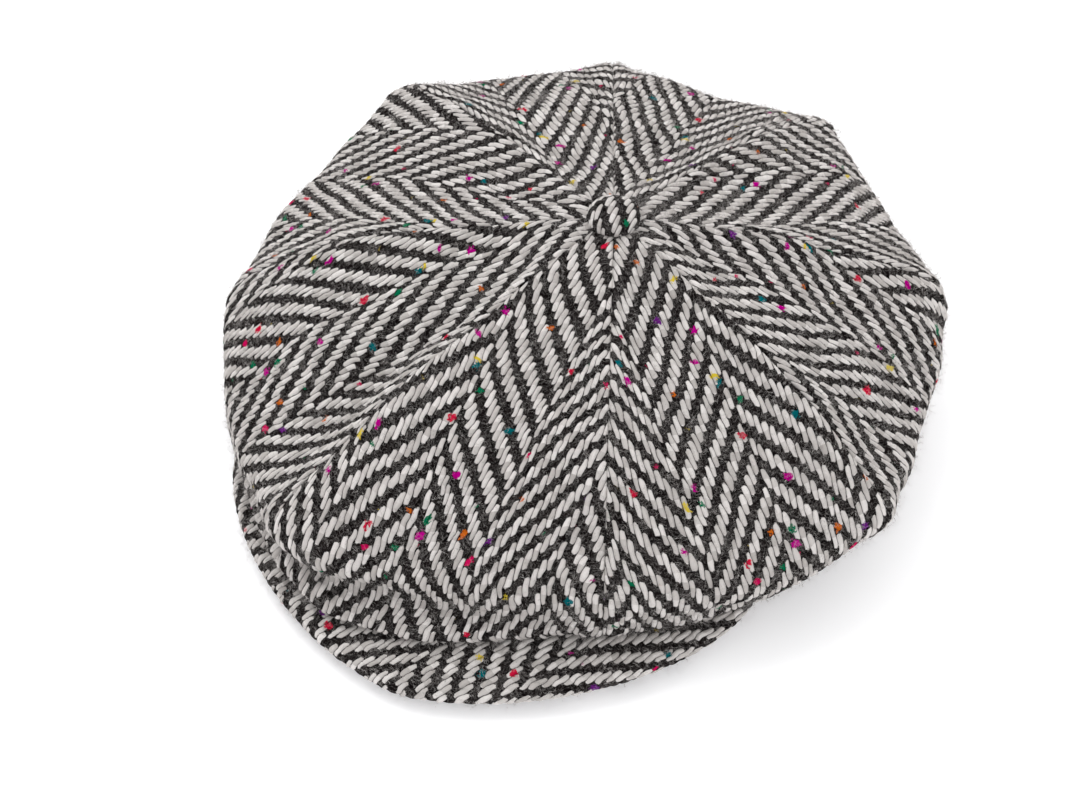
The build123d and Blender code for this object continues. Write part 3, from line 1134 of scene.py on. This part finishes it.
def read_visor(columns=141, rows=26):
    """Plan reach, from inner to outer edge, and top height of the visor over its bearings."""
    tree = node_tree("visor_top_cover")

    def span(bearing):
        return [r for r in np.arange(80, 175, 0.5) if visor_hit(tree, bearing, r) is not None]

    low, high = math.radians(50), math.radians(70)
    for _ in range(14):
        middle = (low + high) / 2
        low, high = (middle, high) if span(middle) else (low, middle)
    last = low - TAIL_TRIM
    bearings = np.sin(np.linspace(-math.pi / 2, math.pi / 2, columns) * 0.92)
    bearings = bearings / bearings[-1] * last
    reach = np.zeros((columns, rows))
    top = np.zeros((columns, rows))
    for c, bearing in enumerate(bearings):
        found = span(bearing)
        inner = visor_reach(tree, bearing, found[0], found[0] - 0.6)
        outer = visor_reach(tree, bearing, found[-1], found[-1] + 0.6)
        reach[c] = np.linspace(inner + 0.02, outer - 0.02, rows)
        top[c] = [visor_hit(tree, bearing, r) for r in reach[c]]
    return bearings, reach, top


def visor_sheets():
    """Outer surfaces of the visor's two covers, and their cloth run from the inner edge."""
    bearings, reach, top = read_visor()
    out = np.array([heading(bearing) for bearing in bearings])
    radius = VISOR_THICK / 2
    sheets = []
    for first_turn, arc_points, drop in ((90, 14, 0), (-90, 6, VISOR_THICK)):
        turns = np.radians(np.linspace(first_turn, VISOR_SEAM_TURN, arc_points)[1:])
        lines, runs = [], []
        for c in range(len(bearings)):
            inner, outer = reach[c, 0], reach[c, -1]
            edge = min(radius, (outer - inner) * 0.45)
            run = np.linspace(inner, outer - edge, 28)
            height = np.interp(run, reach[c], top[c])
            middle = height[-1] - radius
            arc = [(outer - edge + edge * math.cos(t), middle + radius * math.sin(t)) for t in turns]
            lines.append(np.concatenate([np.stack([run, height - drop], axis=-1), np.array(arc)]))
            runs.append(inner + lengths(lines[-1]))
        lines = np.array(lines)
        points = out[:, None, :] * lines[..., 0:1]
        points[..., 2] = lines[..., 1]
        sheets.append((points, np.array(runs), bearings))
    return sheets


def even_places(run, step):
    """Fractional indices of places at even spacing along a running length."""
    count = int(run[-1] / step)
    return np.interp(np.linspace(0, run[-1], count), run, np.arange(len(run)))


def visor_cover(sheet, run, bearings, outward, seed):
    """Points, faces and cloth coordinates of one tweed cover of the visor."""
    columns, rows = sheet.shape[:2]
    row_at = even_places(lengths(sheet[columns // 2]), VISOR_STEP)
    column_at = even_places(lengths(sheet[:, rows - 8]), VISOR_STEP)
    grid = len(column_at), len(row_at)
    column, row = np.meshgrid(column_at, row_at, indexing="ij")
    base = sheet_points(sheet, column, row)
    normal = sheet_normals(sheet, column, row)
    normal = normal * np.sign(normal[grid[0] // 2, 5, 2]) * outward
    run_at = sheet_points(run[..., None], column, row)[..., 0]
    bearing_at = np.interp(column, np.arange(columns), bearings)
    x = run_at * np.sin(bearing_at)
    y = -run_at * np.cos(bearing_at)
    cos, sin = math.cos(VISOR_WARP_TURN), math.sin(VISOR_WARP_TURN)
    sway, pull = wander(base, seed + 1, seed)
    across = x * cos - y * sin - VISOR_WEAVE_SHIFT + sway
    along = x * sin + y * cos + pull
    fade = smooth(rows - 1 - row, 0.0, 1.5) * smooth(row, 0.0, 1.0)
    tails = smooth(np.minimum(column, columns - 1 - column), 0.0, 3.0)
    push = weave_height(across, along) * fade * tails
    tuck = 0.9 * (1 - smooth(rows - 1 - row, 0.0, 1.6))
    points = base + normal * (push - tuck)[..., None]
    places = even_grid(sheet, 61, 21)
    back_normal = sheet_normals(sheet, *places)
    back_normal = back_normal * np.sign(back_normal[30, 3, 2]) * outward
    back = sheet_points(sheet, *places) - back_normal * 1.5
    cloth = np.stack([across, along], axis=-1).reshape(-1, 2)
    return closed_cloth(points.reshape(-1, 3), grid_faces(*grid), grid_borders(*grid), back, cloth)


def build_visor(material):
    """Top cover wrapped over the visor's edge, and the bottom cover under it."""
    covers = (("top", 1, 300, HAIRS_ON_VISOR), ("bottom", -1, 320, 0))
    for sheet, (side, outward, seed, hairs) in zip(visor_sheets(), covers):
        points, faces, uv, front = visor_cover(*sheet, outward, seed)
        nodes = [f"visor_{side}_cover"]
        piece = show(f"tweed_visor_{side}", "", nodes, points, faces, material, uv)
        if hairs:
            add_fuzz(piece, front, hairs, 21)
        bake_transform(piece)


# ---------------------------------------------------------------- button
BUTTON_COLUMNS = 230
BUTTON_TUCKS = 15


def build_button(material):
    """Tweed drawn over the button's shell, with small tucks where it turns under."""
    radius = (button_high.x - button_low.x) / 2 / MM
    base = button_low.z / MM
    tall = (button_high.z - button_low.z) / MM
    profile = []
    for turn in np.linspace(0, math.pi / 2, 40)[1:]:
        profile.append((radius * math.sin(turn) ** 0.92, base + tall * math.cos(turn) ** 0.9, 1.0))
    for reach, height in ((-0.25, -0.35), (-0.9, -0.45), (-1.6, -0.1), (-1.5, 0.6)):
        profile.append((radius + reach, base + 0.35 + height, 0.0))
    for turn in np.linspace(math.pi / 2, 0, 8)[1:-1]:
        inner = ((radius - 1.3) * math.sin(turn), base + 0.4 + (tall - 1.5) * math.cos(turn), 0.0)
        profile.append(inner)
    reach, height, share = np.array(profile).T
    rows = len(profile)
    turn = np.arange(BUTTON_COLUMNS) / BUTTON_COLUMNS * 2 * math.pi
    tucks = np.sin(turn * BUTTON_TUCKS + 1.7 * np.sin(turn * 3))[:, None]
    near_edge = smooth(reach / radius, 0.80, 0.99) * (share > 0)
    x = reach * np.sin(turn)[:, None]
    y = -reach * np.cos(turn)[:, None]
    z = np.repeat(height[None, :], BUTTON_COLUMNS, axis=0)
    run = lengths(np.stack([reach, height], axis=-1)) + reach[0]
    across = run * np.sin(turn)[:, None] + 4.0
    along = -run * np.cos(turn)[:, None] + 1.0
    out = np.stack([x * 0.55, y * 0.55, (z - base + 2.0)], axis=-1)
    push = weave_height(across, along) * share * 0.9 + tucks * near_edge * 0.28
    points = np.stack([x + AXIS_X, y + AXIS_Y, z], axis=-1) + unit(out) * push[..., None]
    faces = grid_faces(BUTTON_COLUMNS, rows, closed=True)
    outer_pole = len(points.reshape(-1, 3))
    inner_pole = outer_pole + 1
    for c in range(BUTTON_COLUMNS):
        after = (c + 1) % BUTTON_COLUMNS
        faces.append((outer_pole, after * rows, c * rows))
        faces.append((inner_pole, c * rows + rows - 1, after * rows + rows - 1))
    poles = [(AXIS_X, AXIS_Y, base + tall), (AXIS_X, AXIS_Y, base + tall - 1.1)]
    points = np.concatenate([points.reshape(-1, 3), np.array(poles)])
    uv = np.stack([across, along], axis=-1).reshape(-1, 2)
    uv = np.concatenate([uv, np.array([(4.0, 1.0), (4.0, 1.0)])])
    cover = show(
        "tweed_button_cover", "button", ["button_cover"], points, faces, material, uv
    )
    add_fuzz(cover, BUTTON_COLUMNS * rows, HAIRS_ON_BUTTON, 31)


# ---------------------------------------------------------------- stage
FLOOR_REACH = 4000.0
FLOOR_GLOW = 0.28
SKY_LIGHT = 0.90
SKY_SEEN = 1.1


def build_stage():
    """Pale floor and soft studio light."""
    floor_material, tree = new_material("studio_floor")
    grain = add(tree, "ShaderNodeTexNoise", Scale=4.0, Detail=2.0).outputs[0]
    surface(
        tree,
        Base_Color=mix_colour(tree, grain, (0.90, 0.90, 0.905, 1), (0.92, 0.92, 0.92, 1)),
        Roughness=0.9,
        Specular_IOR_Level=0.0,
        Emission_Color=(0.97, 0.97, 1.0, 1),
        Emission_Strength=FLOOR_GLOW,
    )
    corners = [(x * FLOOR_REACH, y * FLOOR_REACH, 0) for x, y in ((-1, -1), (1, -1), (1, 1), (-1, 1))]
    floor = make_mesh("floor", np.array(corners), [(0, 1, 2, 3)], floor_material, closed=False)

    world = bpy.data.worlds.new("studio")
    bpy.context.scene.world = world
    world.use_nodes = True
    sky = world.node_tree.nodes["Background"]
    sky.inputs[0].default_value = (1, 1, 1, 1)
    Wire.tree = world.node_tree
    seen = Wire(add(world.node_tree, "ShaderNodeLightPath").outputs["Is Camera Ray"])
    brightness = seen * (SKY_SEEN - SKY_LIGHT) + SKY_LIGHT
    world.node_tree.links.new(brightness.socket, sky.inputs[1])

    lamps = (
        ("key", (-0.8, 0.3, 1.5), 1.3, 11),
        ("fill", (1.2, -0.9, 1.1), 1.4, 3),
        ("back", (0.1, 1.4, 1.2), 1.5, 5),
    )
    for name, place, size, power in lamps:
        light = bpy.data.lights.new(name, "AREA")
        light.shape = "DISK"
        light.size = size
        light.energy = power
        lamp = bpy.data.objects.new(name, light)
        lamp.location = place
        aim = Vector((0, 0, 0.04)) - lamp.location
        lamp.rotation_euler = aim.to_track_quat("-Z", "Y").to_euler()
        bpy.context.scene.collection.objects.link(lamp)


CAMERA_AZIMUTH = 22.2
CAMERA_ELEVATION = 46.0
CAMERA_DISTANCE = 0.950
CAMERA_SHIFT = (-0.0095, -0.0222)
CAMERA_TARGET = Vector((0, 0, 0.040))
CAMERA_LENS = 80.0
SENSOR_WIDTH = 36.0


def build_camera():
    """Camera above the visor's right, at the distance of a short tele lens."""
    azimuth = math.radians(CAMERA_AZIMUTH)
    elevation = math.radians(CAMERA_ELEVATION)
    back = Vector(
        (
            math.sin(azimuth) * math.cos(elevation),
            -math.cos(azimuth) * math.cos(elevation),
            math.sin(elevation),
        )
    )
    right = Vector((math.cos(azimuth), math.sin(azimuth), 0))
    up = back.cross(right)
    data = bpy.data.cameras.new("camera")
    data.lens = CAMERA_LENS
    data.sensor_width = SENSOR_WIDTH
    camera = bpy.data.objects.new("camera", data)
    place = CAMERA_TARGET + back * CAMERA_DISTANCE
    place = place + right * CAMERA_SHIFT[0] + up * CAMERA_SHIFT[1]
    turn = Matrix((right, up, back)).transposed().to_4x4()
    camera.matrix_world = Matrix.Translation(place) @ turn
    bpy.context.scene.collection.objects.link(camera)
    bpy.context.scene.camera = camera


# ---------------------------------------------------------------- assembly
bpy.context.scene.view_settings.view_transform = "Standard"
tweed = tweed_material()
hair_finish = hair_material()
satin = satin_material()
cotton = ribbed_material("sweatband_cotton_rib", (0.012, 0.012, 0.014, 1), 260.0)
buckram = ribbed_material("buckram_mesh", (0.52, 0.49, 0.42, 1), 500.0)
board = board_material()
metal = metal_material()
build_crown(tweed)
build_lining(satin)
build_bands(tweed, cotton)
build_visor(tweed)
build_button(tweed)
CAD_FINISHES = (
    ("button_shell", metal),
    ("button_back", metal),
    ("button_washer", metal),
    ("band_interlining", buckram),
    ("visor_board", board),
)
for node, finish in CAD_FINISHES:
    frame["nodes"][node].data.materials[0] = finish
build_stage()
build_camera()
